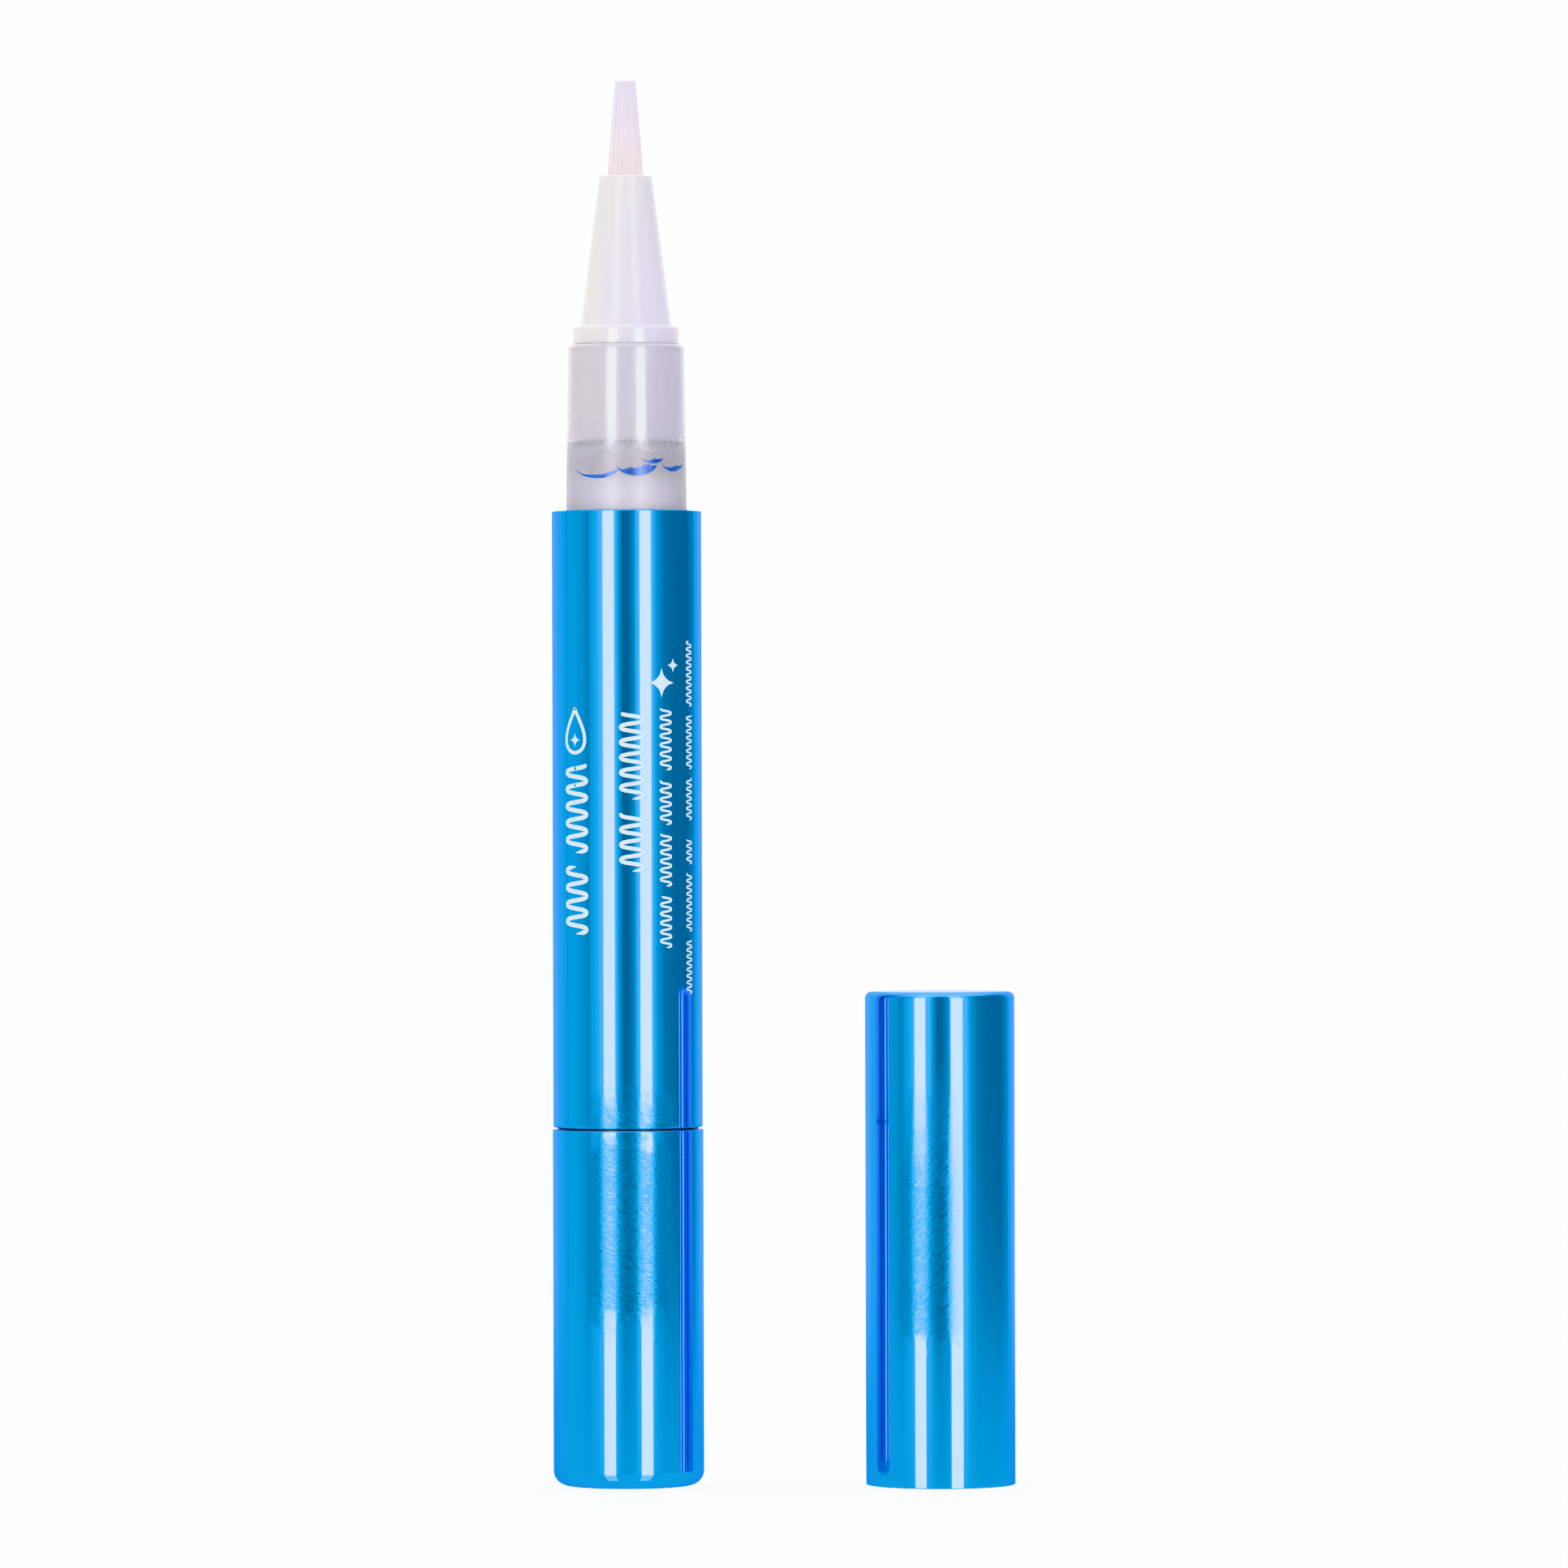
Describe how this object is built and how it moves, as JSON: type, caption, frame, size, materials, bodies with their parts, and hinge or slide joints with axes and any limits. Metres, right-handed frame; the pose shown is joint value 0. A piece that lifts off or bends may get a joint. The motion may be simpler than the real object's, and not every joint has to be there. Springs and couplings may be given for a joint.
{
  "type": "twist-up liquid brush pen",
  "caption": "Twist-up pen that feeds cleaning liquid to a fine brush, with a ratcheting twist knob, a clear neck and its cap parked beside it.",
  "frame": {"origin": "centre of the pen's flat end, the face it stands on", "axes": "+Z along the pen's axis towards the brush, +X from the pen's axis towards the parked cap's axis"},
  "size_m": [0.04, 0.013, 0.1216],
  "materials": {
    "blue_metal": "gloss",
    "white_nozzle": "satin",
    "clear_barrel": "gloss",
    "liquid": "gloss",
    "bristle": "satin",
    "cap_liner": "satin",
    "drive_plastic": "satin",
    "piston_plastic": "satin",
    "seal": "matte",
    "steel_tube": "satin",
    "washer": "satin"
  },
  "bodies": {
    "barrel": {"barrel": "clear_barrel", "barrel_shell": "blue_metal", "nozzle": "white_nozzle", "brush_bristles": "bristle", "brush_ferrule": "white_nozzle", "feed_tube": "steel_tube", "cleaning_liquid": "liquid", "screw_nut": "drive_plastic", "ratchet_ring": "drive_plastic"},
    "knob": {"knob_shell": "blue_metal", "knob_core": "drive_plastic", "drive_sleeve": "drive_plastic", "click_spring": "drive_plastic", "thrust_washer": "washer"},
    "screw": {"screw_rod": "drive_plastic"},
    "piston": {"piston": "piston_plastic", "piston_ring": "seal"},
    "cap": {"cap_shell": "blue_metal", "cap_sleeve": "cap_liner", "inner_cap": "cap_liner"}
  },
  "joints": [
    {"name": "knob_twist", "type": "hinge", "parent": "barrel", "child": "knob", "pos_m": [0, 0, 0.015], "axis": [0, 0, 1], "range_deg": [0, 4140], "deforming": ["click_spring"]},
    {"name": "screw_advance", "type": "slide", "parent": "knob", "child": "screw", "axis": [0, 0, 1], "range_m": [0, 0.0345]},
    {"name": "piston_advance", "type": "slide", "parent": "barrel", "child": "piston", "axis": [0, 0, 1], "range_m": [0, 0.0345], "deforming": ["cleaning_liquid"]},
    {"name": "cap_lift", "type": "slide", "parent": "barrel", "child": "cap", "axis": [0, 0, 1], "range_m": [0, 0.0373]}
  ],
  "couplings": [
    {"joint": "screw_advance", "follows": "knob_twist", "m_per_rad": 0.00047746},
    {"joint": "piston_advance", "follows": "knob_twist", "m_per_rad": 0.00047746}
  ]
}
